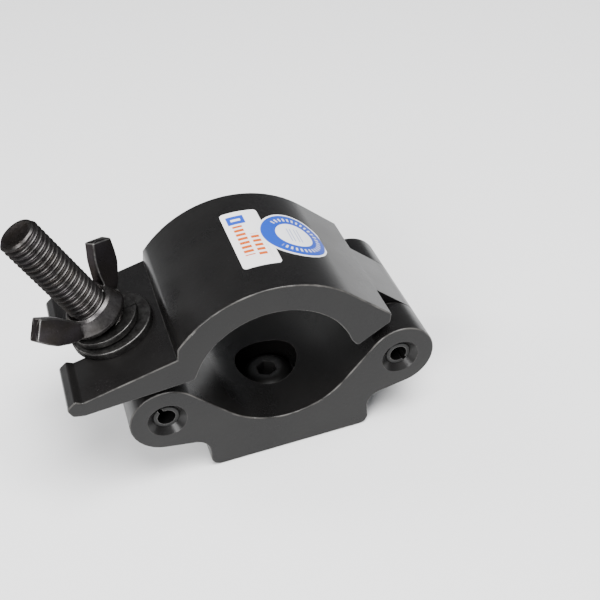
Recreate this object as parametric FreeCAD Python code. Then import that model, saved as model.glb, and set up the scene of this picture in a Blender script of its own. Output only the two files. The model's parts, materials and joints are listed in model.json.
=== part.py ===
"""Half coupler (pipe clamp) for a 48 to 51 mm stage tube, as separate pieces.

Frame: origin at the centre of the base's mounting face, +Z up, tube axis along Y, hinge on the +X side,
swing bolt on the -X side. Sizes are in millimetres. The jaw, bolt, washer and nut are drawn in simple
positions of their own, then turned into the closed position, with no tube in the clamp.
"""
import FreeCAD
import Part
import math
import os

V = FreeCAD.Vector

# --- driving dimensions -----------------------------------------------------------------------------
clamp_width = 50.0            # along the tube
seat_radius = 25.0            # bore of both halves
seat_height = 38.5            # tube axis above the mounting face
wall_edge_round = 0.5         # broken edge round both side faces

pin_offset = 37.0             # hinge and bolt pivot, left and right of the tube axis
pin_drop = 13.5               # and below it
ear_radius = 11.2
pin_radius = 4.0              # 8 mm slotted spring pins
pin_bore_radius = 2.75
pin_slit = 1.4
pin_recess = 1.6              # pin ends below the side faces
recess_radius = 6.0           # countersink at each pin hole

foot_half_width = 26.0
foot_corner = 3.0
notch_radius = 5.0
flank_slope = 10.5            # degrees, underside of each ear
bolt_slot_half = 7.0          # slot between the two bolt ears
hinge_slot_half = 12.0        # slot between the two hinge ears
slot_clearance = 1.1          # slot wall outside the ear radius

closing_angle = 12.2          # degrees that the jaw drops past a 50 mm tube's position
jaw_seat_shift = (-0.8, 0.3)  # jaw bore's centre from the tube axis, with a tube in
jaw_outer_centre = (-0.8, -1.7)
jaw_outer_radius = 35.8
jaw_flank_angle = 35.5        # where the round back turns into the straight flank
jaw_flank_end = (38.1, 5.2)
jaw_heel_end = (37.1, 2.3)
jaw_tip = (25.4, -1.4)
jaw_tip_round = 1.3
jaw_heel_round = 0.8
knuckle_half = 11.5
lug_top_root = (-24.7, 22.6)  # inner end of the lug's top face
lug_step_top = (-23.5, 26.2)
lug_top_end = (-53.7, 22.07)
lip_crest = (-55.3, 23.55)
lug_tip_high = (-58.6, 21.9)
lug_tip_low = (-58.0, 18.6)
lug_bottom_end = (-55.0, 17.2)
lug_bottom_root = (-22.6, 12.8)
lug_corner_round = 4.0
lug_slot_half = 7.2
lug_slot_end = -30.2          # inner end of the slot's round, with a tube in

bolt_lean = 25.05             # degrees off upright, closed with no tube
bolt_radius = 6.0             # M12
bolt_length = 65.3            # pivot to end face
bolt_eye_radius = 10.0
bolt_eye_half = 6.3
bolt_end_chamfer = 1.0
running_clearance = 0.05

washer_radius = 12.8
washer_hole_radius = 7.2
washer_thickness = 2.4
washer_shift = 0.4            # towards the jaw, off the bolt's axis
spring_outer_radius = 10.5    # split spring washer under the nut
spring_inner_radius = 6.5
spring_thickness = 2.1
spring_rise = 0.9             # from one end of the split to the other
spring_gap = 9.0              # degrees of the split
spring_turn = 0.0             # degrees from the jaw side to the middle of the split
nut_turn = 38.6               # degrees, where the wings stand
nut_base_radius = 9.2
nut_hub_radius = (9.3, 7.7, 6.9)
nut_hub_height = (1.2, 5.1, 6.0)
wing_thickness = 4.1
wing_corner_round = 0.8
wing_outline = [(4.0, 0.6), (9.3, 1.2), (11.4, 2.2), (15.6, 6.4), (17.4, 9.7), (18.95, 13.2), (13.4, 17.0),
                (9.9, 12.6), (7.9, 8.8), (6.8, 5.9), (4.0, 5.7)]
seat_gap = 0.02               # between faces that rest on each other

screw_radius = 5.0            # M10 button head screw
screw_hole_radius = 5.5
screw_neck_radius = 4.5       # plain neck at the thread's pitch diameter
screw_head_radius = 8.75
screw_head_height = 5.5
screw_head_crown = 4.6        # flat disc on top of the domed head
screw_socket_across = 6.0
screw_socket_depth = 3.2
screw_length = 20.0
screw_end_chamfer = 1.0
recess_floor = 5.6            # counterbore floor above the mounting face
counterbore_radius = 10.25

label_thickness = 0.12
plate_label_span = (96.7, 78.0)   # degrees about the jaw's outer centre, closed
plate_label_ends = (-13.7, 14.8)  # along the tube
plate_label_corner = 1.2
round_label_angle = 64.4
round_label_y = 1.0
round_label_radius = 11.2

# --- worked out from them ---------------------------------------------------------------------------
half_width = clamp_width / 2
pin_z = seat_height - pin_drop
hinge_pin = V(pin_offset, 0, pin_z)
bolt_pin = V(-pin_offset, 0, pin_z)
slot_radius = ear_radius + slot_clearance


# --- helpers ----------------------------------------------------------------------------------------
def xz(x, z):
    """A point of a side view, with z from the tube axis."""
    return V(x, 0, z + seat_height)


def on_circle(centre, radius, degrees):
    """A side-view point on a circle, from its centre (x, z from the tube axis)."""
    a = math.radians(degrees)
    return (centre[0] + radius * math.cos(a), centre[1] + radius * math.sin(a))


def line(a, b):
    return Part.makeLine(xz(*a), xz(*b))


def arc(centre, radius, start, end):
    """Arc about a centre, from one angle to the other, in degrees anticlockwise from +X towards +Z."""
    points = [xz(*on_circle(centre, radius, a)) for a in (start, (start + end) / 2, end)]
    return Part.Arc(*points).toShape()


def rounded(points, radii):
    """Edges of an open run of points whose inner corners are rounded by the radii given."""
    edges = []
    here = points[0]
    for i in range(1, len(points) - 1):
        corner = xz(*points[i])
        back = (xz(*points[i - 1]) - corner).normalize()
        ahead = (xz(*points[i + 1]) - corner).normalize()
        half = back.getAngle(ahead) / 2
        if radii[i - 1] == 0:
            edges.append(line(here, points[i]))
            here = points[i]
            continue
        reach = radii[i - 1] / math.tan(half)
        first = corner + back * reach
        last = corner + ahead * reach
        bisector = (back + ahead).normalize()
        middle = corner + bisector * (radii[i - 1] / math.sin(half) - radii[i - 1])
        edges.append(Part.makeLine(xz(*here), first))
        edges.append(Part.Arc(first, middle, last).toShape())
        here = (last.x, last.z - seat_height)
    edges.append(line(here, points[-1]))
    return edges


def prism(edges, y0, y1):
    """Solid between two planes across the tube, from a closed side view."""
    wire = Part.Wire(Part.__sortEdges__(edges))
    face = Part.Face(wire)
    face.translate(V(0, y0, 0))
    return face.extrude(V(0, y1 - y0, 0))


def round_bar(x, z, radius, y0, y1):
    """Cylinder along the tube axis, z from the mounting face."""
    return Part.makeCylinder(radius, y1 - y0, V(x, y0, z), V(0, 1, 0))


def block(x0, x1, y0, y1, z0, z1):
    return Part.makeBox(x1 - x0, y1 - y0, z1 - z0, V(x0, y0, z0))


def mirror_x(points):
    return [(-x, z) for x, z in reversed(points)]


def turned(profile):
    """Solid of revolution about Z from (radius, height) points, closed along the axis if it reaches it."""
    points = [V(r, 0, h) for r, h in profile]
    wire = Part.makePolygon(points + [points[0]])
    return Part.Face(wire).revolve(V(0, 0, 0), V(0, 0, 1), 360)


def break_edges(solid, size, keep):
    """Round the edges that keep() accepts, leaving the solid alone where the round can't be made."""
    edges = [e for e in solid.Edges if keep(e)]
    if not edges:
        return solid
    return solid.makeFillet(size, edges)


def close_jaw(shape):
    """Turn a jaw shape from its position on a 50 mm tube to the closed one."""
    shape.rotate(hinge_pin, V(0, 1, 0), -closing_angle)
    return shape


def along_bolt(shape):
    """Place a shape drawn upright on the pivot, along the leaning bolt."""
    shape.rotate(V(0, 0, 0), V(0, 1, 0), -bolt_lean)
    shape.translate(bolt_pin)
    return shape


# --- lower saddle -----------------------------------------------------------------------------------
def saddle_outline():
    """Side view of the saddle: seat arc, tangent S to each ear, underside, notch and foot."""
    reach = math.hypot(pin_offset, pin_drop)
    slope = math.degrees(math.atan2(-pin_drop, pin_offset))
    spread = math.degrees(math.acos((seat_radius + ear_radius) / reach))
    seat_end = slope - spread
    ear_start = slope + 180 - spread
    ear_end = -90 + flank_slope
    ear = (pin_offset, -pin_drop)
    under = on_circle(ear, ear_radius, ear_end)
    notch_z = under[1] - (under[0] - foot_half_width) * math.tan(math.radians(flank_slope))
    foot_z = -seat_height
    right = [arc(ear, ear_radius, ear_start, ear_end)]
    right.append(line(on_circle((0, 0), seat_radius, seat_end), on_circle(ear, ear_radius, ear_start)))
    run = [under, (foot_half_width, notch_z), (foot_half_width, foot_z), (0, foot_z)]
    right += rounded(run, [notch_radius, foot_corner])
    left = [edge.mirror(V(0, 0, 0), V(1, 0, 0)) for edge in right]
    return [arc((0, 0), seat_radius, -180 - seat_end, seat_end)] + right + left


def pin_hole(x):
    """Through hole for a spring pin, with a countersink at both side faces."""
    tool = round_bar(x, pin_z, pin_radius, -half_width - 1, half_width + 1)
    sink = recess_radius - pin_radius
    for side in (-1, 1):
        mouth = Part.makeCone(recess_radius + 1, pin_radius, sink + 1, V(x, side * (half_width + 1), pin_z),
                              V(0, -side, 0))
        tool = tool.fuse(mouth)
    return tool


def make_lower_saddle():
    body = prism(saddle_outline(), -half_width, half_width)
    body = break_edges(body, wall_edge_round, lambda e: abs(abs(e.BoundBox.Center.y) - half_width) < 0.01)
    above = seat_height
    inner = pin_offset - 6.5
    bolt_slot = round_bar(-pin_offset, pin_z, slot_radius, -bolt_slot_half, bolt_slot_half)
    bolt_slot = bolt_slot.fuse(block(-pin_offset - 20, -inner, -bolt_slot_half, bolt_slot_half, 0, pin_z))
    bolt_slot = bolt_slot.fuse(block(-pin_offset - 20, -inner, -bolt_slot_half, bolt_slot_half, pin_z, above))
    hinge_slot = round_bar(pin_offset, pin_z, slot_radius, -hinge_slot_half, hinge_slot_half)
    hinge_slot = hinge_slot.fuse(block(inner, pin_offset + 20, -hinge_slot_half, hinge_slot_half, 0, above))
    body = body.cut(bolt_slot).cut(hinge_slot)
    body = body.cut(pin_hole(pin_offset)).cut(pin_hole(-pin_offset))
    body = body.cut(Part.makeCylinder(screw_hole_radius, seat_height, V(0, 0, -1)))
    return body.cut(Part.makeCylinder(counterbore_radius, seat_height, V(0, 0, recess_floor)))


# --- upper jaw --------------------------------------------------------------------------------------
def jaw_back():
    """Top of the jaw from the lug's step round the back to the flank: arc and where it starts and ends."""
    cx, cz = jaw_outer_centre
    start = math.degrees(math.atan2(lug_step_top[1] - cz, lug_step_top[0] - cx))
    return start, jaw_flank_angle


def jaw_bore_angle(z):
    """Angle on the jaw's bore where it reaches height z on the left."""
    rise = (z - jaw_seat_shift[1]) / seat_radius
    return 180 - math.degrees(math.asin(rise))


def jaw_outline():
    """Side view of the jaw's full-width body, in its position on a 50 mm tube."""
    start, end = jaw_back()
    step_top = on_circle(jaw_outer_centre, jaw_outer_radius, start)
    flank_start = on_circle(jaw_outer_centre, jaw_outer_radius, end)
    bore_left = jaw_bore_angle(lug_bottom_root[1] + 2.2)
    bore_right = 3.0
    lug_in = on_circle(jaw_seat_shift, seat_radius, bore_left)
    bore_end = on_circle(jaw_seat_shift, seat_radius, bore_right)
    lug = [lug_in, lug_bottom_root, lug_bottom_end, lug_tip_low, lug_tip_high, lip_crest, lug_top_end,
           lug_top_root, step_top]
    edges = rounded(lug, [lug_corner_round / 2, 2.0, 1.6, 1.6, 0.75, 0.7, 0.0])
    edges.append(arc(jaw_outer_centre, jaw_outer_radius, start, end))
    heel = [flank_start, jaw_flank_end, jaw_heel_end, jaw_tip, bore_end]
    edges += rounded(heel, [jaw_heel_round, jaw_heel_round, jaw_tip_round])
    edges.append(arc(jaw_seat_shift, seat_radius, bore_right, bore_left))
    return edges


def knuckle_outline():
    """Side view of the hinge knuckle and the web that joins it to the jaw."""
    ear = (pin_offset, -pin_drop)
    reach = math.hypot(jaw_flank_end[0] - ear[0], jaw_flank_end[1] - ear[1])
    bearing = math.degrees(math.atan2(jaw_flank_end[1] - ear[1], jaw_flank_end[0] - ear[0]))
    right = bearing - math.degrees(math.acos(ear_radius / reach))
    left = 150.0
    web_top = on_circle(jaw_outer_centre, jaw_outer_radius - 1.0, jaw_flank_angle + 2)
    web_in = (jaw_tip[0] + 2.2, jaw_tip[1] + 1.2)
    start = on_circle(ear, ear_radius, left)
    edges = [line(web_top, (jaw_flank_end[0] - 0.4, jaw_flank_end[1] - 0.4))]
    edges.append(line((jaw_flank_end[0] - 0.4, jaw_flank_end[1] - 0.4), on_circle(ear, ear_radius, right)))
    edges.append(arc(ear, ear_radius, right, left - 360))
    edges.append(line(start, web_in))
    edges.append(line(web_in, web_top))
    return edges


def make_upper_jaw():
    body = prism(jaw_outline(), -half_width, half_width)
    body = break_edges(body, wall_edge_round, lambda e: abs(abs(e.BoundBox.Center.y) - half_width) < 0.01)
    knuckle = prism(knuckle_outline(), -knuckle_half, knuckle_half)
    body = body.fuse(knuckle).removeSplitter()
    slot_end = V(lug_slot_end - lug_slot_half, 0, 0)
    slot = Part.makeCylinder(lug_slot_half, 60, slot_end)
    slot = slot.fuse(block(-80, slot_end.x, -lug_slot_half, lug_slot_half, 0, 60))
    pin_bore = round_bar(pin_offset, pin_z, pin_radius + running_clearance, -half_width, half_width)
    slot.translate(V(0, 0, seat_height))
    return close_jaw(body.cut(slot).cut(pin_bore))


# --- pins, bolt, washer, nut, screw -----------------------------------------------------------------
def make_spring_pin(x, slit_angle):
    """Slotted spring pin across both ears, its slit turned by an angle from straight up."""
    end = half_width - pin_recess
    pin = round_bar(x, pin_z, pin_radius, -end, end)
    pin = break_edges(pin, 0.4, lambda e: abs(abs(e.BoundBox.Center.y) - end) < 0.01)
    pin = pin.cut(round_bar(x, pin_z, pin_bore_radius, -end - 1, end + 1))
    slit = block(x - pin_slit / 2, x + pin_slit / 2, -end - 1, end + 1, pin_z, pin_z + pin_radius + 1)
    slit.rotate(V(x, 0, pin_z), V(0, 1, 0), slit_angle)
    return pin.cut(slit)


def make_swing_bolt():
    """Eye round the pivot pin, and the shank up to its chamfered end."""
    top = bolt_length
    small = bolt_radius - bolt_end_chamfer
    shank = turned([(0, 0), (bolt_radius, 0), (bolt_radius, top - bolt_end_chamfer), (small, top), (0, top)])
    eye = round_bar(0, 0, bolt_eye_radius, -bolt_eye_half, bolt_eye_half)
    eye = break_edges(eye, 1.2, lambda e: abs(abs(e.BoundBox.Center.y) - bolt_eye_half) < 0.01)
    bolt = eye.fuse(shank).removeSplitter()
    bolt = bolt.cut(round_bar(0, 0, pin_radius + running_clearance, -half_width, half_width))
    return along_bolt(bolt)


def lug_plane():
    """Point on the closed lug's top face and its normal."""
    point = xz(*lug_top_root)
    ahead = xz(*lug_top_end)
    normal = V(point.z - ahead.z, 0, -(point.x - ahead.x)).normalize() * -1
    turn = FreeCAD.Rotation(V(0, 1, 0), -closing_angle)
    return turn.multVec(point - hinge_pin) + hinge_pin, turn.multVec(normal)


def bolt_axis():
    return FreeCAD.Rotation(V(0, 1, 0), -bolt_lean).multVec(V(0, 0, 1))


def washer_seat():
    """Where the bolt's axis meets the lug's top face, measured along the bolt, and the tilt between them."""
    point, normal = lug_plane()
    axis = bolt_axis()
    return (point - bolt_pin).dot(normal) / axis.dot(normal), normal, axis.getAngle(normal)


def make_large_washer():
    reach, normal, _ = washer_seat()
    centre = bolt_pin + bolt_axis() * reach + normal * seat_gap + uphill(normal) * washer_shift
    ring = Part.makeCylinder(washer_radius, washer_thickness, centre, normal)
    ring = break_edges(ring, 0.4, lambda e: e.Length > 40)
    return ring.cut(Part.makeCylinder(washer_hole_radius, washer_thickness * 3, centre - normal, normal))


def uphill(normal):
    """Direction in the lug's top face, across the tube, towards the jaw."""
    return V(0, 1, 0).cross(normal)


def make_spring_washer():
    """Split ring of rectangular section, its ends sprung apart, lying on the large washer."""
    reach, normal, _ = washer_seat()
    middle = (spring_outer_radius + spring_inner_radius) / 2
    half = (spring_outer_radius - spring_inner_radius) / 2
    turn = 360 - spring_gap
    path = Part.makeHelix(spring_rise * 360 / turn, spring_rise, middle)
    corners = [V(middle - half, 0, 0), V(middle + half, 0, 0), V(middle + half, 0, spring_thickness),
               V(middle - half, 0, spring_thickness)]
    section = Part.makePolygon(corners + [corners[0]])
    ring = Part.Wire(path.Edges).makePipeShell([section], True, True)
    ring = ring if ring.ShapeType == "Solid" else Part.makeSolid(ring)
    ring.rotate(V(0, 0, 0), V(0, 0, 1), spring_turn + spring_gap / 2)
    foot = bolt_pin + bolt_axis() * reach + normal * (washer_thickness + 2 * seat_gap)
    ring.rotate(V(0, 0, 0), V(0, 1, 0), math.degrees(math.atan2(normal.x, normal.z)))
    ring.translate(foot + uphill(normal) * spring_shift())
    return ring


def spring_shift():
    """How far the spring washer's centre sits uphill of the bolt's axis at its underside."""
    _, _, tilt = washer_seat()
    return -(washer_thickness + spring_thickness / 2) * math.tan(tilt)


def nut_base():
    """Distance along the bolt from the pivot to the nut's underside, its rim just on the spring washer."""
    reach, _, tilt = washer_seat()
    stack = washer_thickness + spring_thickness + 0.55 * spring_rise + 4 * seat_gap
    return reach + stack / math.cos(tilt) + nut_base_radius * math.tan(tilt)


def make_wing_nut():
    r0, r1, r2 = nut_hub_radius
    h0, h1, h2 = nut_hub_height
    base = nut_base_radius
    hub = turned([(0, 0), (base, 0), (r0, 0.4), (r0, h0), (r1, h1), (r2, h2), (0, h2)])
    nut = hub
    for side in (1, -1):
        points = [V(side * r, -wing_thickness / 2, h) for r, h in wing_outline]
        wing = Part.Face(Part.makePolygon(points + [points[0]])).extrude(V(0, wing_thickness, 0))
        tips = [e for e in wing.Edges if abs(e.BoundBox.YLength - wing_thickness) < 0.01
                and abs(e.BoundBox.Center.x) > 13 and e.BoundBox.Center.z > 12]
        wing = wing.makeFillet(wing_corner_round, tips)
        nut = nut.fuse(wing)
    nut = nut.removeSplitter()
    nut = nut.cut(Part.makeCylinder(bolt_radius + running_clearance, 40, V(0, 0, -5)))
    nut.rotate(V(0, 0, 0), V(0, 0, 1), nut_turn)
    nut.translate(V(0, 0, nut_base()))
    return along_bolt(nut)


def make_mounting_screw():
    """Button head screw, head on the counterbore floor, threaded end below the mounting face."""
    under = recess_floor + seat_gap
    tip = under - screw_length
    crown = under + screw_head_height
    middle = V((screw_head_radius + screw_head_crown) / 2 + 0.75, 0, under + screw_head_height * 0.68)
    dome = Part.Arc(V(screw_head_radius, 0, under + 0.9), middle, V(screw_head_crown, 0, crown)).toShape()
    points = [V(screw_head_crown, 0, crown), V(0, 0, crown), V(0, 0, tip), V(screw_radius - screw_end_chamfer, 0, tip),
              V(screw_radius, 0, tip + screw_end_chamfer), V(screw_radius, 0, 0), V(screw_neck_radius, 0, 0),
              V(screw_neck_radius, 0, under), V(screw_head_radius - 0.3, 0, under),
              V(screw_head_radius, 0, under + 0.3), V(screw_head_radius, 0, under + 0.9)]
    edges = [Part.makeLine(a, b) for a, b in zip(points, points[1:])]
    body = Part.Face(Part.Wire(edges + [dome])).revolve(V(0, 0, 0), V(0, 0, 1), 360)
    corner = screw_socket_across / math.sqrt(3)
    angles = [math.radians(60 * i) for i in range(7)]
    hexagon = Part.makePolygon([V(corner * math.cos(a), corner * math.sin(a), crown + 1) for a in angles])
    return body.cut(Part.Face(hexagon).extrude(V(0, 0, -1 - screw_socket_depth)))


# --- labels -----------------------------------------------------------------------------------------
def jaw_skin(first, last, y0, y1):
    """Thin shell on the jaw's round back, between two angles (closed position) and two planes."""
    inner = jaw_outer_radius
    outer = inner + label_thickness
    low, high = first - closing_angle, last - closing_angle
    edges = [arc(jaw_outer_centre, inner, low, high), arc(jaw_outer_centre, outer, low, high)]
    for angle in (low, high):
        edges.append(line(on_circle(jaw_outer_centre, inner, angle), on_circle(jaw_outer_centre, outer, angle)))
    return close_jaw(prism(edges, y0, y1))


def round_label_punch():
    """Cylinder square to the jaw's back, the size of the round label."""
    angle = round_label_angle - closing_angle
    foot = xz(*on_circle(jaw_outer_centre, jaw_outer_radius - 6, angle))
    foot.y = round_label_y
    a = math.radians(angle)
    return close_jaw(Part.makeCylinder(round_label_radius, 12, foot, V(math.cos(a), 0, math.sin(a))))


def make_round_label():
    reach = math.degrees(round_label_radius / jaw_outer_radius) + 2
    y0, y1 = round_label_y - round_label_radius - 1, round_label_y + round_label_radius + 1
    first = max(round_label_angle - reach, jaw_flank_angle + closing_angle)
    skin = jaw_skin(first, round_label_angle + reach, y0, y1)
    return skin.common(round_label_punch())


def make_plate_label():
    first, last = plate_label_span
    skin = jaw_skin(last, first, *plate_label_ends)
    corners = [e for e in skin.Edges if e.Length < label_thickness * 1.5 and e.BoundBox.YLength < 0.01]
    skin = skin.makeFillet(plate_label_corner, corners)
    return skin.cut(round_label_punch())


# --- write one file per piece -----------------------------------------------------------------------
def write(name, shape):
    if shape.ShapeType == "Compound" and len(shape.Solids) == 1:
        shape = shape.Solids[0]
    if not shape.isValid() or not shape.Solids:
        raise RuntimeError(name + " is not a valid solid")
    shape.exportStep("parts/" + name + ".step")
    box = shape.BoundBox
    print("%-18s solids %d volume %9.1f  x %7.2f %7.2f  y %7.2f %7.2f  z %7.2f %7.2f" % (
        name, len(shape.Solids), shape.Volume, box.XMin, box.XMax, box.YMin, box.YMax, box.ZMin, box.ZMax))


def main():
    os.makedirs("parts", exist_ok=True)
    write("lower_saddle", make_lower_saddle())
    write("upper_jaw", make_upper_jaw())
    write("jaw_hinge_pin", make_spring_pin(pin_offset, 140))
    write("bolt_pivot_pin", make_spring_pin(-pin_offset, -25))
    write("swing_bolt", make_swing_bolt())
    write("large_washer", make_large_washer())
    write("spring_washer", make_spring_washer())
    write("wing_nut", make_wing_nut())
    write("mounting_screw", make_mounting_screw())
    write("plate_label", make_plate_label())
    write("round_label", make_round_label())


main()
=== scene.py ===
"""Looks of a black pipe clamp: saddle, hinged jaw, spring pins, swing bolt, washers, wing nut, screw, labels.

Shapes are worked out in millimetres in the clamp's own frame and put into metres when a mesh is made. The
bolt and the nut are drawn with the bolt standing on +Z and are then leaned with it. The washers are drawn
about +Z and laid on the jaw's sloping lug.
"""
import json
import math

import bpy
import numpy as np
from mathutils import Matrix, Vector


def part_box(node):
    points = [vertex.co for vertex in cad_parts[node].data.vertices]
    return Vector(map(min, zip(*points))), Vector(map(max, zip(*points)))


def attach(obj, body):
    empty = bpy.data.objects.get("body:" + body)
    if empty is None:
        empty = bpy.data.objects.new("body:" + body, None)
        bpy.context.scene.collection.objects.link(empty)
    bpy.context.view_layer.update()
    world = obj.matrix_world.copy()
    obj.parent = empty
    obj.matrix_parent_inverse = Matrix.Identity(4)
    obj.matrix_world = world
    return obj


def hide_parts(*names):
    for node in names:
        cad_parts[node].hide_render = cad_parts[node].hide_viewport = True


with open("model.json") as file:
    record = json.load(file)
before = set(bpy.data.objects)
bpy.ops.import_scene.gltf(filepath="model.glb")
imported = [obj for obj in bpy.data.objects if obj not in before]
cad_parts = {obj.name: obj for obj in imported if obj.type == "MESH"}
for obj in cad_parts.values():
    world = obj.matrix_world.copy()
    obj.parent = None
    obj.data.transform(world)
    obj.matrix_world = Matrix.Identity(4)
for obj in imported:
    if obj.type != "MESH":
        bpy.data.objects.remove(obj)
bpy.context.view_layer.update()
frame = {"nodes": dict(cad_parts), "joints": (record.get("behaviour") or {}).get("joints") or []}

MM = 0.001
ALONG_TUBE = np.array([0.0, 1.0, 0.0])

joints = {j["name"]: j for j in frame["joints"]}
pivot = np.array(joints["bolt_swing"]["pos_m"]) / MM
hinge = np.array(joints["jaw_open"]["pos_m"]) / MM
bolt_axis = np.array(joints["nut_travel"]["axis"])
bolt_axis = bolt_axis / np.linalg.norm(bolt_axis)

# the lug's top face with the jaw closed, and how far the bolt leans from its normal
lug_slope = math.radians(13.254)
lug_normal = np.array([-math.sin(lug_slope), 0, math.cos(lug_slope)])
lug_uphill = np.cross(ALONG_TUBE, lug_normal)
lug_tilt = math.acos(np.clip(bolt_axis @ lug_normal, -1, 1))

# swing bolt, M12
bolt_length, bolt_crest, bolt_pitch = 65.3, 5.95, 1.75
bolt_plain, bolt_tip = 5.85, 5.05
bolt_thread_start, bolt_thread_fade = 7.5, 9.0
eye_radius, eye_half, eye_bore = 9.98, 6.28, 4.06

# washers; the gap keeps faces that touch from sharing a plane
washer_gap = 0.02
washer_radius, washer_hole, washer_thickness = 12.78, 7.2, 2.4
washer_uphill = 0.4
spring_outer, spring_inner, spring_thickness = 10.48, 6.5, 2.1
spring_rise, spring_split = 0.9, 9.0

# wing nut; an edge curve is a row of (distance from the bolt's axis, height)
nut_turn = 38.6
nut_base, nut_base_lift, nut_bore = 9.2, 0.03, 6.06
wing_thickness, wing_round = 4.1, 0.5
wing_inner_edge = [(3.8, 5.2), (6.8, 5.8), (7.9, 8.7), (9.9, 12.5), (13.35, 16.95)]
wing_outer_edge = [(3.8, 0.9), (9.3, 1.3), (11.4, 2.3), (15.6, 6.4), (17.4, 9.7), (18.9, 13.15)]

# mounting screw, M10 with a button head; screw_socket is half its hexagon's width
screw_crest, screw_pitch, screw_neck, screw_tip = 4.97, 1.5, 4.47, 3.9
screw_head, screw_head_height = 8.73, 5.5
screw_socket, screw_socket_depth, screw_socket_mouth = 3.0, 3.2, 3.75

# jaw's round back and its labels, closed; a turn is in degrees about the back's centre, up from +X
jaw_back_centre = (-2.44, 28.55)
jaw_back_radius = 35.8
plate_label_turns = (96.7, 78.0)
round_label_turn, round_label_along = 64.4, 1.0

# faces that meet at more than this many degrees are creased
new_piece_crease, cad_piece_crease = 38, 40


# --- surfaces ------------------------------------------------------------------------------------------
def corner_line(points, radii, steps):
    """A run of 2-D points whose corners are rounded: each corner is swapped for an arc that leaves both its
    sides tangentially. radii has one value per point, and nought keeps a point sharp. Returns points and,
    for each, how much of a corner it is (1 on an arc, 0 elsewhere)."""
    points = np.asarray(points, float)
    line, worn = [], []
    last = len(points) - 1
    for i, (corner, radius) in enumerate(zip(points, radii)):
        if radius == 0 or i in (0, last):
            line.append(corner[None])
            worn.append([0.0])
            continue
        back = points[i - 1] - corner
        ahead = points[i + 1] - corner
        back, ahead = back / np.linalg.norm(back), ahead / np.linalg.norm(ahead)
        half = math.acos(np.clip(back @ ahead, -1, 1)) / 2
        centre = corner + (back + ahead) / np.linalg.norm(back + ahead) * radius / math.sin(half)
        first = corner + back * radius / math.tan(half) - centre
        final = corner + ahead * radius / math.tan(half) - centre
        sweep = math.pi - 2 * half
        t = np.linspace(0, 1, steps)[:, None]
        line.append(centre + (np.sin((1 - t) * sweep) * first + np.sin(t * sweep) * final) / math.sin(sweep))
        worn.append(np.ones(steps))
    return np.concatenate(line), np.concatenate(worn)


def closed_corner_line(points, radii, steps=5):
    """corner_line for a closed outline, which starts and ends in the middle of its last side."""
    points = np.asarray(points, float)
    middle = (points[0] + points[-1]) / 2
    run = np.concatenate([[middle], points, [middle]])
    line, worn = corner_line(run, [0] + list(radii) + [0], steps)
    return line[:-1], worn[:-1]


def lathe(profile, steps):
    """A profile of (radius, height) turned about Z: at angle a it is (radius cos a, radius sin a, height)."""
    a = np.linspace(0, 2 * math.pi, steps, endpoint=False)
    radius, height = profile[:, 0, None], profile[:, 1, None]
    return np.stack([radius * np.cos(a), radius * np.sin(a), height + 0 * a], axis=-1)


def thread(crest, pitch, start, end, plain, tip, fade):
    """A right-hand screw thread about Z, from height start to height end. Rows follow the helix: row m at
    angle a stands at start + m pitch / pitch_steps + pitch a / 2 pi, held between the two ends. A row's
    phase is its share of a pitch. Its radius falls from the crest by 0.58 of the pitch times
    sin(v pi / 2) ^ 1.15, where v is 1.13 - 2.5 |phase - 1/2| held between 0 and 1. The thread grows out of
    the plain radius over fade, and a 45 degree chamfer cuts it at the end, down to the radius tip. Returns
    points and how much of a crest each is."""
    turn_steps, pitch_steps = 96, 12
    vee_depth, vee_level, vee_slope, vee_round = 0.58, 1.13, 2.5, 1.15
    rows = np.arange(-pitch_steps, int((end - start) / pitch * pitch_steps) + pitch_steps + 2)
    a = np.linspace(0, 2 * math.pi, turn_steps + 1)
    raw = start + rows[:, None] * pitch / pitch_steps + pitch * a[None] / (2 * math.pi)
    height = np.clip(raw, start, end)
    phase = (rows % pitch_steps) / pitch_steps
    vee = np.clip(vee_level - vee_slope * np.abs(phase - 0.5), 0, 1)
    vee = np.sin(vee * math.pi / 2) ** vee_round
    depth = (vee_depth * pitch * vee)[:, None]
    grown = np.clip((height - start) / fade, 0, 1)
    grown = grown * grown * (3 - 2 * grown)
    radius = plain + (crest - depth - plain) * grown
    radius = np.minimum(radius, tip + (end - height))
    crestness = (1 - vee)[:, None] * grown
    return np.stack([radius * np.cos(a), radius * np.sin(a), height], axis=-1), crestness


def capped(points, worn):
    """Closes both ends of a tube of rows: each end row is drawn in to its own middle."""
    first = np.broadcast_to(points[:1].mean(axis=1, keepdims=True), points[:1].shape)
    last = np.broadcast_to(points[-1:].mean(axis=1, keepdims=True), points[-1:].shape)
    worn = np.concatenate([worn[:1] * 0, worn, worn[-1:] * 0])
    return np.concatenate([first, points, last]), worn


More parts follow.
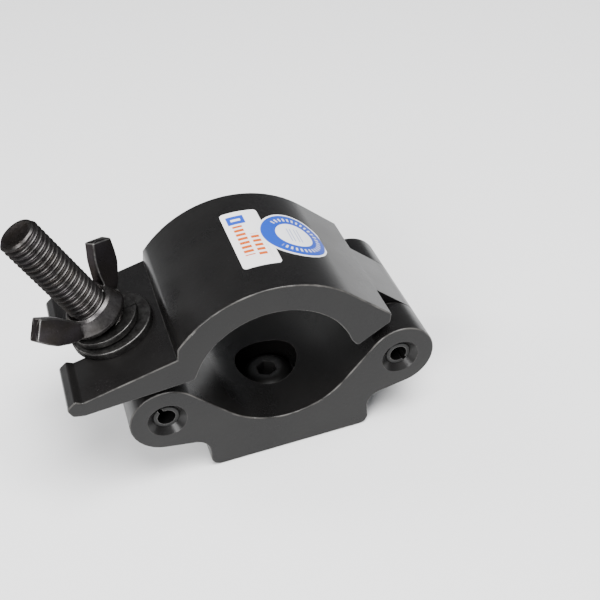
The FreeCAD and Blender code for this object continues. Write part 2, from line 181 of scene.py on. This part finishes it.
def shell(points, worn, ring_rows=False, ring_columns=True):
    """One closed skin from a grid of points: four-cornered faces between neighbours, round the rows and
    columns where they close. Doubled points are merged, and the faces are turned to face outwards."""
    rows, columns = points.shape[:2]
    worn = np.broadcast_to(worn, (rows, columns)).ravel()
    index = np.arange(rows * columns).reshape(rows, columns)
    if ring_rows:
        index = np.concatenate([index, index[:1]])
    if ring_columns:
        index = np.concatenate([index, index[:, :1]], axis=1)
    quads = np.stack([index[:-1, :-1], index[:-1, 1:], index[1:, 1:], index[1:, :-1]], axis=-1).reshape(-1, 4)
    flat = points.reshape(-1, 3)
    _, keep, merged = np.unique(np.round(flat, 4), axis=0, return_index=True, return_inverse=True)
    flat, worn, quads = flat[keep], worn[keep], merged.ravel()[quads]
    same = quads == np.roll(quads, -1, axis=1)
    whole = quads[~same.any(axis=1)]
    pinched = quads[same.sum(axis=1) == 1]
    side = np.argmax(pinched == np.roll(pinched, -1, axis=1), axis=1)
    order = (side[:, None] + np.array([1, 2, 3])) % 4
    threes = np.take_along_axis(pinched, order, axis=1)
    corners = np.concatenate([whole[:, [0, 1, 2]], whole[:, [0, 2, 3]], threes])
    a, b, c = flat[corners[:, 0]], flat[corners[:, 1]], flat[corners[:, 2]]
    volume = np.einsum("ij,ij->i", a, np.cross(b, c)).sum()
    if volume < 0:
        whole, threes = whole[:, ::-1], threes[:, ::-1]
    return flat, worn, whole, threes


def leaned(points, turn=0.0, rise=0.0):
    """Turns points about Z, lifts them by rise, and stands them on the pivot along the leaning bolt."""
    t = math.radians(turn)
    x = points[..., 0] * math.cos(t) - points[..., 1] * math.sin(t)
    y = points[..., 0] * math.sin(t) + points[..., 1] * math.cos(t)
    sideways = np.cross(ALONG_TUBE, bolt_axis)
    return (pivot + x[..., None] * sideways + y[..., None] * ALONG_TUBE
            + (points[..., 2] + rise)[..., None] * bolt_axis)


def on_lug(points, centre):
    """Lays points drawn about Z on the lug's sloping top, about a centre."""
    x, y, z = points[..., :1], points[..., 1:2], points[..., 2:]
    return centre + x * lug_uphill + y * ALONG_TUBE + z * lug_normal


def piece(name, shells, body, stands_for, material):
    """Makes one object of closed skins, with the attribute worn, and puts it on a body for a CAD node."""
    points, worn, faces, base = [], [], [], 0
    for flat, wear, whole, threes in shells:
        points.append(flat)
        worn.append(wear)
        faces += (whole + base).tolist() + (threes + base).tolist()
        base += len(flat)
    mesh = bpy.data.meshes.new(name)
    mesh.from_pydata((np.concatenate(points) * MM).tolist(), [], faces)
    mesh.validate()
    mesh.polygons.foreach_set("use_smooth", np.ones(len(mesh.polygons), bool))
    mesh.set_sharp_from_angle(angle=math.radians(new_piece_crease))
    layer = mesh.attributes.new("worn", "FLOAT", "POINT")
    layer.data.foreach_set("value", np.concatenate(worn).astype(np.float32))
    mesh.materials.append(material)
    made = bpy.data.objects.new(name, mesh)
    bpy.context.scene.collection.objects.link(made)
    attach(made, body)
    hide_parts(stands_for)
    return made


# --- node helpers --------------------------------------------------------------------------------------
class Finish:
    """A material being made: its node tree, its shader, and short calls that add nodes to it."""

    def __init__(self, name):
        self.material = bpy.data.materials.new(name)
        self.material.use_nodes = True
        self.tree = self.material.node_tree
        self.shader = self.tree.nodes["Principled BSDF"]
        self.place = self.add("ShaderNodeTexCoord").outputs["Object"]

    def add(self, kind, inputs=None, **settings):
        """Adds a node with its settings, and feeds its inputs, which are named or numbered."""
        made = self.tree.nodes.new(kind)
        for key, value in settings.items():
            setattr(made, key, value)
        for key, value in (inputs or {}).items():
            self.feed(value, made.inputs[key])
        return made

    def feed(self, value, socket):
        """Links a socket to another node's output, or sets it to a plain value."""
        if isinstance(value, bpy.types.NodeSocket):
            self.tree.links.new(value, socket)
        else:
            socket.default_value = value

    def maths(self, operation, *values, clamp=False):
        made = self.add("ShaderNodeMath", operation=operation, use_clamp=clamp)
        for socket, value in zip(made.inputs, values):
            self.feed(value, socket)
        return made.outputs[0]

    def times(self, first, second):
        return self.maths("MULTIPLY", first, second)

    def reach(self, first, second):
        """The length of (first, second): the root of the sum of their squares."""
        return self.maths("SQRT", self.maths("ADD", self.times(first, first), self.times(second, second)))

    def noise(self, scale, detail=2.0):
        """Soft noise over Object coordinates, with about scale waves in a metre."""
        made = self.add("ShaderNodeTexNoise", {"Vector": self.place, "Scale": scale, "Detail": detail,
                                               "Roughness": 0.5})
        return made.outputs["Fac"]

    def between(self, value, low, high, to_low=0.0, to_high=1.0):
        """Carries low to to_low and high to to_high in a straight line, and holds what lies outside."""
        made = self.add("ShaderNodeMapRange", {"Value": value, "From Min": low, "From Max": high,
                                               "To Min": to_low, "To Max": to_high}, clamp=True)
        return made.outputs[0]

    def mix(self, share, first, second):
        """Two colours by share: 0 is all the first and 1 all the second."""
        made = self.add("ShaderNodeMix", {0: share}, data_type="RGBA")
        self.feed(first, made.inputs[6])
        self.feed(second, made.inputs[7])
        return made.outputs[2]

    def bump(self, height, distance, normal=None):
        inputs = {"Height": height, "Distance": distance, "Strength": 1.0}
        if normal:
            inputs["Normal"] = normal
        return self.add("ShaderNodeBump", inputs).outputs[0]

    def worn(self):
        return self.add("ShaderNodeAttribute", attribute_name="worn").outputs["Fac"]

    def edges(self, radius):
        """How far the surface bends within a radius: about 0 on flats and 1 on sharp edges."""
        rounded = self.add("ShaderNodeBevel", {"Radius": radius}, samples=6).outputs[0]
        straight = self.add("ShaderNodeNewGeometry").outputs["Normal"]
        both = self.add("ShaderNodeVectorMath", {0: rounded, 1: straight}, operation="DOT_PRODUCT")
        return self.maths("SUBTRACT", 1.0, both.outputs["Value"], clamp=True)

    def glint_borders(self):
        """1 on the rounded borders of the two side faces, which lie in their outermost 0.6 mm and whose
            normals are between the tube's direction and the outline's, and 0 elsewhere and in the pins'
            countersinks. It marks where the powder coat's painted edge highlight goes."""
        normal = self.add("ShaderNodeSeparateXYZ", {0: self.add("ShaderNodeNewGeometry").outputs["Normal"]})
        lean = self.maths("ABSOLUTE", normal.outputs["Y"])
        rounded = self.times(self.between(lean, 0.10, 0.35), self.between(lean, 0.985, 0.90))
        place = self.add("ShaderNodeSeparateXYZ", {0: self.place}).outputs
        outermost = self.between(self.maths("ABSOLUTE", place["Y"]), 24.3 * MM, 24.5 * MM)
        across = self.maths("SUBTRACT", self.maths("ABSOLUTE", place["X"]), hinge[0] * MM)
        above = self.maths("SUBTRACT", place["Z"], hinge[2] * MM)
        past_countersink = self.between(self.reach(across, above), 6.1 * MM, 6.4 * MM)
        return self.times(self.times(rounded, outermost), past_countersink)

    def set(self, **values):
        """Feeds the shader's sockets, named with low lines for spaces, and returns the material."""
        for key, value in values.items():
            self.feed(value, self.shader.inputs[key.replace("_", " ")])
        return self.material


def grey(value, tint=(1.0, 1.0, 1.0)):
    return (value * tint[0], value * tint[1], value * tint[2], 1.0)


# --- finishes ------------------------------------------------------------------------------------------
def powder_coat():
    """Satin black powder coat: fine orange peel, soft clouds, a few specks, edges rubbed a bit lighter, and a
    painted highlight, broken up by noise, along the side faces' rounded borders.
    """
    f = Finish("black_powder_coat")
    peel = f.noise(750)
    grain = f.noise(4200, detail=1.0)
    cloud = f.noise(38, detail=3.0)
    speck = f.between(f.noise(2600, detail=0.0), 0.76, 0.80)
    edge = f.between(f.edges(0.4 * MM), 0.02, 0.22)
    scuffed = f.between(f.noise(260, detail=4.0), 0.35, 0.75)
    rubbed = f.times(edge, f.between(scuffed, 0.0, 1.0, 0.35, 1.0))
    # painted highlight: a lighter grey laid on the side faces' rounded borders, broken up by noise, to stand
    # in for glints
    glint_share = f.times(f.glint_borders(), f.between(f.noise(160, detail=4.0), 0.36, 0.66, 0.12, 1.0))
    deep_black, soft_black = grey(0.0042, (1.04, 0.98, 1.0)), grey(0.0066, (1.06, 1.0, 0.96))
    # the first grey is rubbed edge wear; the second is the colour of the painted edge highlight
    rubbed_grey, glint_grey = grey(0.10, (1.04, 1.0, 0.95)), grey(0.085, (1.04, 1.0, 0.94))
    colour = f.mix(f.between(cloud, 0.3, 0.7), deep_black, soft_black)
    colour = f.mix(f.times(speck, 0.2), colour, grey(0.05))
    colour = f.mix(rubbed, colour, rubbed_grey)
    # lays the painted edge highlight over the coat's colour
    colour = f.mix(glint_share, colour, glint_grey)
    uneven = f.maths("ADD", cloud, f.times(grain, 0.25))
    rough = f.between(uneven, 0.35, 0.95, 0.22, 0.38)
    normal = f.bump(grain, 0.004 * MM, normal=f.bump(peel, 0.022 * MM))
    return f.set(Base_Color=colour, Roughness=rough, Normal=normal, Specular_IOR_Level=0.24)


def black_zinc(name, worn_grey, base_grey):
    """Black zinc plate on steel: dark, brown to violet in patches, and brighter where it is worn."""
    f = Finish(name)
    patch = f.between(f.noise(170, detail=4.0), 0.35, 0.68)
    fine = f.noise(1900, detail=3.0)
    brown, violet = grey(base_grey, (1.12, 0.98, 0.90)), grey(base_grey * 1.3, (1.06, 0.95, 1.03))
    plate = f.mix(patch, brown, violet)
    rub = f.times(f.worn(), f.between(f.noise(520, detail=3.0), 0.3, 0.62, 0.35, 1.0))
    colour = f.mix(rub, plate, grey(worn_grey, (1.02, 1.0, 0.97)))
    rough = f.between(fine, 0.25, 0.8, 0.24, 0.46)
    return f.set(Base_Color=colour, Metallic=0.92, Roughness=rough, Normal=f.bump(fine, 0.012 * MM),
                 Specular_IOR_Level=0.3, Specular_Tint=grey(0.3))


def spring_pin_steel():
    """Phosphated spring steel: nearly black, with its edges rubbed greyer."""
    f = Finish("pin_steel")
    fine = f.noise(2600, detail=3.0)
    rubbed = f.between(f.edges(0.3 * MM), 0.03, 0.3)
    cloud = f.between(f.noise(300, detail=3.0), 0.3, 0.7)
    dark = f.mix(cloud, grey(0.018, (1.02, 1.0, 0.97)), grey(0.032))
    colour = f.mix(rubbed, dark, grey(0.20, (1.0, 0.98, 0.96)))
    return f.set(Base_Color=colour, Metallic=0.9, Roughness=f.between(fine, 0.2, 0.8, 0.3, 0.5),
                 Normal=f.bump(fine, 0.01 * MM))


def screw_black():
    """Matt black oxide on the screw, a little paler where it is worn."""
    f = Finish("screw_steel")
    fine = f.noise(2200, detail=3.0)
    colour = f.mix(f.times(f.worn(), 0.6), grey(0.010, (1.03, 1.0, 0.97)), grey(0.05))
    return f.set(Base_Color=colour, Metallic=0.55, Roughness=f.between(fine, 0.2, 0.8, 0.36, 0.55),
                 Normal=f.bump(fine, 0.01 * MM))


def label_finish(name, colour_of):
    """Satin printed vinyl. colour_of draws the print from the label's own flat coordinates in millimetres:
    across is minus the back's radius times the angle about its centre, so it grows towards the hinge, and
    along follows the tube."""
    f = Finish(name)
    centre = (jaw_back_centre[0] * MM, 0, jaw_back_centre[1] * MM)
    from_centre = f.add("ShaderNodeVectorMath", {0: f.place, 1: centre}, operation="SUBTRACT").outputs[0]
    split = f.add("ShaderNodeSeparateXYZ", {0: from_centre}).outputs
    angle = f.maths("ARCTAN2", split["Z"], split["X"])
    across = f.times(angle, -jaw_back_radius)
    along = f.times(split["Y"], 1 / MM)
    colour = colour_of(f, across, along)
    dust = f.noise(900, detail=3.0)
    return f.set(Base_Color=colour, Roughness=f.between(dust, 0.2, 0.8, 0.34, 0.5),
                 Normal=f.bump(dust, 0.006 * MM), Specular_IOR_Level=0.3)


def inside(f, value, low, high):
    """1 where a value lies between two limits, with softly printed borders."""
    soft = 0.08
    return f.times(f.between(value, low - soft, low + soft), f.between(value, high + soft, high - soft))


def bar(f, across, along, across_limits, along_limits):
    """1 in a printed rectangle."""
    return f.times(inside(f, across, *across_limits), inside(f, along, *along_limits))


def plate_print(f, across, along):
    """White with a blue block round a pale bar, two rows of short orange strokes, and fine grey rules."""
    white, pale, rule_grey = grey(0.80, (1.0, 0.99, 1.0)), grey(0.75), grey(0.35)
    blue, orange = (0.012, 0.055, 0.42, 1.0), (0.52, 0.085, 0.003, 1.0)
    middle = -math.radians(sum(plate_label_turns) / 2) * jaw_back_radius
    a = f.maths("SUBTRACT", across, middle)
    colour = f.mix(bar(f, a, along, (-4.4, 1.0), (8.3, 12.6)), white, blue)
    colour = f.mix(bar(f, a, along, (-3.2, -0.2), (9.9, 11.0)), colour, pale)
    strokes = f.between(f.maths("SINE", f.times(along, 2.9)), -0.35, -0.15)
    for across_limits, along_limits in (((-3.6, -0.6), (-8.0, 7.4)), ((0.4, 2.9), (-9.6, 2.2))):
        share = f.times(bar(f, a, along, across_limits, along_limits), strokes)
        colour = f.mix(share, colour, orange)
    for place in (3.6, 4.1):
        rule = bar(f, a, along, (place, place + 0.12), (-11.0, 5.0))
        colour = f.mix(f.times(rule, 0.5), colour, rule_grey)
    return colour


def round_print(f, across, along):
    """White rim, a blue ring with pale ticks round part of it, and fine blue rules on a white middle."""
    white, pale = grey(0.80, (0.98, 0.99, 1.02)), grey(0.75)
    ring_blue, rule_blue = (0.010, 0.055, 0.40, 1.0), (0.03, 0.09, 0.38, 1.0)
    a = f.maths("SUBTRACT", across, -math.radians(round_label_turn) * jaw_back_radius)
    b = f.maths("SUBTRACT", along, round_label_along)
    reach = f.reach(a, b)
    colour = f.mix(inside(f, reach, 6.0, 10.55), white, ring_blue)
    turn = f.maths("ARCTAN2", b, a)
    ticks = f.between(f.maths("SINE", f.times(turn, 34.0)), 0.0, 0.35)
    ticks = f.times(ticks, inside(f, reach, 7.4, 8.9))
    ticks = f.times(ticks, inside(f, turn, -2.3, 2.3))
    colour = f.mix(f.times(ticks, 0.75), colour, pale)
    for low in (-1.9, -0.9, 0.5, 1.5):
        rule = bar(f, a, b, (low, low + 0.35), (-3.6, 3.2))
        colour = f.mix(f.times(rule, 0.6), colour, rule_blue)
    return colour


# --- CAD pieces that keep their shape --------------------------------------------------------------------
def dress(node, material):
    """Gives a CAD node its finish, and shades its curved faces smoothly between creases."""
    made = frame["nodes"][node]
    made.data.materials.clear()
    made.data.materials.append(material)
    made.data.polygons.foreach_set("use_smooth", np.ones(len(made.data.polygons), bool))
    weld = made.modifiers.new("weld", "WELD")
    weld.merge_threshold = 0.002 * MM
    split = made.modifiers.new("creases", "EDGE_SPLIT")
    split.split_angle = math.radians(cad_piece_crease)
    even = made.modifiers.new("even", "WEIGHTED_NORMAL")
    even.mode = "FACE_AREA"
    even.weight = 80


coat = powder_coat()
dress("lower_saddle", coat)
dress("upper_jaw", coat)
pins = spring_pin_steel()
dress("jaw_hinge_pin", pins)
dress("bolt_pivot_pin", pins)
dress("plate_label", label_finish("label_vinyl", plate_print))
dress("round_label", label_finish("label_vinyl_round", round_print))


# --- swing bolt ------------------------------------------------------------------------------------------
def swing_bolt_shells():
    """The eye is a rounded oblong profile turned about the pivot. The shank is a thread from inside the
    eye's wall to the chamfered end, which a smaller row and a slightly sunk middle close."""
    outline = [(eye_bore, -eye_half), (eye_radius, -eye_half), (eye_radius, eye_half), (eye_bore, eye_half)]
    profile, worn = closed_corner_line(outline, [0.5, 1.6, 1.6, 0.5])
    eye = lathe(profile, 80)[..., [0, 2, 1]]
    shank, crest = thread(bolt_crest, bolt_pitch, bolt_thread_start, bolt_length, bolt_plain, bolt_tip,
                          bolt_thread_fade)
    end = shank[-1:] * [0.82, 0.82, 1.0]
    shank = np.concatenate([shank, end, end * [0.9, 0.9, 1.0] - [0, 0, 0.12]])
    crest = np.concatenate([crest, crest[-1:] * 0 + 0.3, crest[-1:] * 0])
    shank, crest = capped(shank, crest)
    return [shell(leaned(eye), 0.6 * worn[:, None], ring_rows=True),
            shell(leaned(shank), 0.9 * crest, ring_columns=False)]


bolt_zinc = black_zinc("bolt_black_zinc", 0.060, 0.026)
nut_zinc = black_zinc("nut_black_zinc", 0.16, 0.026)
washer_zinc = black_zinc("washer_black_zinc", 0.07, 0.013)
piece("threaded_swing_bolt", swing_bolt_shells(), "bolt", "swing_bolt", bolt_zinc)


# --- washers ---------------------------------------------------------------------------------------------
def box_middle(node):
    low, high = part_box(node)
    return (np.array(low) + np.array(high)) / 2 / MM


def lug_foot():
    """Where the bolt's axis meets the lug's top face, found back from the middle of the flat washer."""
    above = washer_gap + washer_thickness / 2
    return box_middle("large_washer") - lug_normal * above - lug_uphill * washer_uphill


def flat_washer_shells():
    """A four-sided profile turned about Z, its top edge rolled over and its lower edge left crisp."""
    half = washer_thickness / 2
    outline = [(washer_hole, -half), (washer_radius, -half), (washer_radius, half), (washer_hole, half)]
    profile, worn = closed_corner_line(outline, [0.2, 0.25, 0.55, 0.45], 6)
    return [shell(on_lug(lathe(profile, 128), box_middle("large_washer")), worn[:, None], ring_rows=True)]


def split_washer_shells():
    """A rounded rectangle carried round a shallow helix: at angle a it stands higher by the rise times its
    share of the way from one side of the split to the other. Its middle drifts downhill as the leaning bolt
    does."""
    half = (spring_outer - spring_inner) / 2
    outline = [(-half, 0), (half, 0), (half, spring_thickness), (-half, spring_thickness)]
    section, worn = closed_corner_line(outline, [0.15, 0.2, 0.3, 0.3], 4)
    a = np.radians(np.linspace(spring_split / 2, 360 - spring_split / 2, 110))[:, None]
    share = (a - a[0]) / (a[-1] - a[0])
    radius = (spring_outer + spring_inner) / 2 + section[None, :, 0]
    height = section[None, :, 1] + spring_rise * share
    ring = np.stack([radius * np.cos(a), radius * np.sin(a), height], axis=-1)
    ring, wear = capped(ring, np.broadcast_to(worn, ring.shape[:2]))
    foot_height = washer_thickness + 2 * washer_gap
    drift = -(washer_thickness + spring_thickness / 2) * math.tan(lug_tilt)
    foot = on_lug(np.array([drift, 0, foot_height]), lug_foot())
    return [shell(on_lug(ring, foot), wear)]


piece("flat_washer", flat_washer_shells(), "washers", "large_washer", washer_zinc)
piece("split_spring_washer", split_washer_shells(), "washers", "spring_washer", washer_zinc)


# --- wing nut --------------------------------------------------------------------------------------------
def smooth_run(points, count):
    """A curve through 2-D points at even shares of its length, its corners eased by a moving average."""
    steps, reach = 400, 18
    points = np.asarray(points, float)
    length = np.concatenate([[0], np.cumsum(np.linalg.norm(np.diff(points, axis=0), axis=1))])
    fine = np.linspace(0, length[-1], steps)
    line = np.stack([np.interp(fine, length, points[:, k]) for k in (0, 1)], axis=-1)
    before = line[:1] + np.arange(-reach, 0)[:, None] * (line[1] - line[0])
    after = line[-1:] + np.arange(1, reach + 1)[:, None] * (line[-1] - line[-2])
    padded = np.concatenate([before, line, after])
    weights = np.ones(2 * reach + 1) / (2 * reach + 1)
    eased = np.stack([np.convolve(padded[:, k], weights, mode="valid") for k in (0, 1)], axis=-1)
    at = np.linspace(0, len(eased) - 1, count)
    return np.stack([np.interp(at, np.arange(len(eased)), eased[:, k]) for k in (0, 1)], axis=-1)


def wing_spine():
    """The wing's sections from root to end: each one's middle, the half line from there to the inner edge,
    and its half thickness, which swells near the root by 0.42 exp(-(share / 0.33) ^ 2). The end is rounded:
    over a quarter turn t a section goes forward by wing_round sin t, and its half width and half thickness
    shrink by wing_round (1 - cos t). The last 0.3 of the spine is first drawn back, by wing_round at its
    end, so that the wing keeps its length. Returns also each section's share of that rounded end."""
    rows, root_swell, root_reach, end_start = 44, 0.42, 0.33, 0.7
    inner = smooth_run(wing_inner_edge, rows)
    outer = smooth_run(wing_outer_edge, rows)
    share = np.linspace(0, 1, rows)
    half_thick = wing_thickness / 2 * (1 + root_swell * np.exp(-((share / root_reach) ** 2)))
    middle = (inner + outer) / 2
    across = (inner - outer) / 2
    forward = middle[-1] - middle[-2]
    forward = forward / np.linalg.norm(forward)
    turn = np.linspace(0, math.pi / 2, 7)[1:]
    width = np.linalg.norm(across[-1])
    narrower = (width - wing_round * (1 - np.cos(turn))) / width
    thinner = (half_thick[-1] - wing_round * (1 - np.cos(turn))) / half_thick[-1]
    drawn_back = np.clip((share - end_start) / (1 - end_start), 0, 1)[:, None]
    middle = middle - forward * wing_round * drawn_back
    middle = np.concatenate([middle, middle[-1] + forward * (wing_round * np.sin(turn))[:, None]])
    across = np.concatenate([across, across[-1] * narrower[:, None]])
    half_thick = np.concatenate([half_thick, half_thick[-1] * thinner])
    end_share = np.concatenate([share * 0, np.sin(turn)])
    return middle, across, half_thick, end_share


def nut_wing():
    """One wing, upright in the XZ plane: an oblong section with corners of wing_round, a quarter turn to
    each, carried along the wing's spine."""
    middle, across, half_thick, end_share = wing_spine()
    corner_steps, side = 6, math.pi / 2
    length = np.linalg.norm(across, axis=1)[:, None]
    thick = half_thick[:, None]
    quarter = np.linspace(0, side, corner_steps)
    turns = np.concatenate([quarter + k * side for k in range(4)])
    diagonals = np.repeat(np.arange(4) * side + side / 2, corner_steps)
    u = np.sign(np.cos(diagonals)) * (length - wing_round) + wing_round * np.cos(turns)
    v = np.sign(np.sin(diagonals)) * (thick - wing_round) + wing_round * np.sin(turns)
    rim = end_share[:, None]
    on_corner = np.broadcast_to(np.tile([0] + [1] * (corner_steps - 2) + [0], 4), u.shape)
    worn = np.maximum(0.75 * on_corner, 0.9 * rim * (1 - rim) * 4)
    unit = across / length
    points = np.stack([middle[:, :1] + unit[:, :1] * u, v, middle[:, 1:] + unit[:, 1:] * u], axis=-1)
    return capped(points, worn)


def nut_rise():
    """How far along the bolt the nut's underside stands: the way to the lug's face, the stack of washers
    over the tilt's cosine, and the base's radius times the tilt's tangent, so that its low side clears the
    stack. The spring washer counts with 0.55 of its rise."""
    reach = (lug_foot() - pivot) @ bolt_axis
    stack = washer_thickness + spring_thickness + 0.55 * spring_rise + 4 * washer_gap
    return reach + stack / math.cos(lug_tilt) + nut_base * math.tan(lug_tilt)


def wing_nut_shells():
    """A hub profile turned about Z, whose bore is a plain wall, and the wing twice, half a turn apart. The
    profile goes from the bore out over the base, up its rim and shoulder to the crown, and back to the
    bore."""
    outline = [(nut_bore, 0.7), (6.8, nut_base_lift), (nut_base, nut_base_lift), (9.28, 1.3),
               (7.75, 5.1), (6.9, 5.95), (6.5, 5.95), (nut_bore, 5.5)]
    profile, worn = closed_corner_line(outline, [0.1, 0.3, 0.35, 0.7, 0.9, 0.4, 0.15, 0.1], 6)
    hub = shell(leaned(lathe(profile, 128), nut_turn, nut_rise()), 0.3 * worn[:, None], ring_rows=True)
    wing, wear = nut_wing()
    return [hub] + [shell(leaned(wing, nut_turn + side, nut_rise()), wear) for side in (0, 180)]


piece("forged_wing_nut", wing_nut_shells(), "nut", "wing_nut", nut_zinc)


# --- mounting screw --------------------------------------------------------------------------------------
def screw_head_shell(crown):
    """Rings about Z whose radius runs from a hexagon in the socket to circles over the mouth, the dome, the
    rim, the underside and the neck. At turn t, from 80 to 12 degrees, the dome's radius is dome_start plus
    cos t / cos 12 of what is left to the head's radius. Its height is rim_height plus sin t / sin 80 of what
    is left to the crown."""
    under = crown - screw_head_height
    floor = crown - screw_socket_depth
    mouth_depth, rim_height, dome_start = 0.35, 0.9, 4.55
    a = np.linspace(0, 2 * math.pi, 144, endpoint=False)
    hexagon = screw_socket / np.cos((a + math.pi / 6) % (math.pi / 3) - math.pi / 6)
    t = np.radians(np.linspace(80, 12, 14))
    dome_radius = dome_start + (screw_head - dome_start) * np.cos(t) / np.cos(t[-1])
    dome_height = under + rim_height + (screw_head_height - rim_height) * np.sin(t) / np.sin(t[0])
    rings = [(0 * a, floor - 0.5), (0.9 * hexagon, floor), (hexagon, floor + 0.12)]
    for k in (0, 0.5, 1):
        rings.append((hexagon + (screw_socket_mouth - hexagon) * k, crown - mouth_depth * (1 - k)))
    rings += [(r + 0 * a, min(z, crown)) for r, z in zip(dome_radius, dome_height)]
    rim_and_neck = ((screw_head, 0.6), (8.7, 0.2), (8.5, 0.0), (5.2, 0.0), (screw_neck, -0.3))
    rings += [(r + 0 * a, under + z) for r, z in rim_and_neck]
    rings += [(screw_neck + 0 * a, 0.4), (4.2 + 0 * a, 0.1), (0 * a, 0.1)]
    points = np.stack([np.stack([r * np.cos(a), r * np.sin(a), z + 0 * a], axis=-1) for r, z in rings])
    worn = np.zeros(len(rings))
    worn[3:6] = 0.8
    return shell(points, worn[:, None])


def screw_shank_shell(tip):
    """A thread drawn upwards and turned over about X, so that it hangs from inside the neck to its
    chamfered end."""
    drawn_from, top = 6.0, 5.0
    shank, crest = thread(screw_crest, screw_pitch, 0.0, drawn_from - tip, screw_neck, screw_tip, fade=7.0)
    shank = np.concatenate([shank, shank[-1:] * [0.85, 0.85, 1.0]])
    crest = np.concatenate([crest, crest[-1:] * 0])
    shank, crest = capped(shank, crest)
    shank = np.stack([shank[..., 0], -shank[..., 1], drawn_from - shank[..., 2]], axis=-1)
    shank[..., 2] = np.minimum(shank[..., 2], top)
    return shell(shank, crest, ring_columns=False)


def mounting_screw_shells():
    low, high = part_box("mounting_screw")
    return [screw_head_shell(high[2] / MM), screw_shank_shell(low[2] / MM)]


piece("socket_screw", mounting_screw_shells(), "saddle", "mounting_screw", screw_black())


# --- stage -----------------------------------------------------------------------------------------------
def stage_floor():
    """A wide pale sheet level with the mounting face, turned up behind in one smooth curve: a quarter
    circle of radius 1.5 m that starts 2.5 m back."""
    half_width, bend_back, bend_radius, top, just_below = 6, 2.5, 1.5, 6.0, 0.06 * MM
    x = np.linspace(-half_width, half_width, 3)
    run = np.linspace(-half_width, 0, 2)
    bend = np.linspace(0, math.pi / 2, 24)
    y = np.concatenate([run, bend_back + bend_radius * np.sin(bend), [bend_back + bend_radius]])
    z = np.concatenate([run * 0, bend_radius * (1 - np.cos(bend)), [top]]) - just_below
    x, y = np.meshgrid(x, y)
    points = np.stack([x, y, np.broadcast_to(z[:, None], x.shape)], axis=-1)
    index = np.arange(x.size).reshape(x.shape)
    faces = np.stack([index[:-1, :-1], index[:-1, 1:], index[1:, 1:], index[1:, :-1]], axis=-1).reshape(-1, 4)
    mesh = bpy.data.meshes.new("studio_floor")
    mesh.from_pydata(points.reshape(-1, 3).tolist(), [], faces.tolist())
    mesh.polygons.foreach_set("use_smooth", np.ones(len(mesh.polygons), bool))
    paper = Finish("studio_paper")
    mesh.materials.append(paper.set(Base_Color=grey(0.86), Roughness=0.75, Specular_IOR_Level=0.2))
    made = bpy.data.objects.new("studio_floor", mesh)
    bpy.context.scene.collection.objects.link(made)


def soft_box(name, place, width, height, power):
    """A rectangular lamp that faces the clamp's middle."""
    clamp_middle = Vector((-0.01, 0.0, 0.03))
    data = bpy.data.lights.new(name, "AREA")
    data.shape = "RECTANGLE"
    data.size, data.size_y = width, height
    data.energy = power
    made = bpy.data.objects.new(name, data)
    bpy.context.scene.collection.objects.link(made)
    made.location = place
    made.rotation_euler = (clamp_middle - Vector(place)).to_track_quat("-Z", "Y").to_euler()


def studio_light():
    """Even pale surroundings, a large box overhead, one at the front left and a strip behind on the left."""
    world = bpy.data.worlds.new("studio")
    world.use_nodes = True
    surroundings = world.node_tree.nodes["Background"].inputs
    surroundings["Color"].default_value = (0.93, 0.95, 1.0, 1.0)
    surroundings["Strength"].default_value = 0.34
    bpy.context.scene.world = world
    soft_box("front_left_box", (-0.62, -0.70, 0.62), width=0.5, height=0.4, power=13.0)
    soft_box("overhead_box", (0.15, -0.25, 1.05), width=0.8, height=0.6, power=27.0)
    soft_box("rear_strip", (-0.75, 0.45, 0.55), width=0.2, height=0.6, power=5.0)


def camera():
    """The view from above and a little to the left, with its three directions given row by row."""
    right = Vector((0.947238, -0.315936, -0.054082))
    down = Vector((-0.243263, -0.598717, -0.763126))
    ahead = Vector((0.208720, 0.736018, -0.643983))
    place = Vector((-0.05097, -0.22599, 0.23380))
    data = bpy.data.cameras.new("camera")
    data.sensor_width = 36.0
    data.lens = 58.13
    data.clip_start, data.clip_end = 0.01, 50.0
    made = bpy.data.objects.new("camera", data)
    bpy.context.scene.collection.objects.link(made)
    made.matrix_world = Matrix.Translation(place) @ Matrix((right, -down, -ahead)).transposed().to_4x4()
    bpy.context.scene.camera = made


stage_floor()
studio_light()
camera()

bpy.context.view_layer.update()
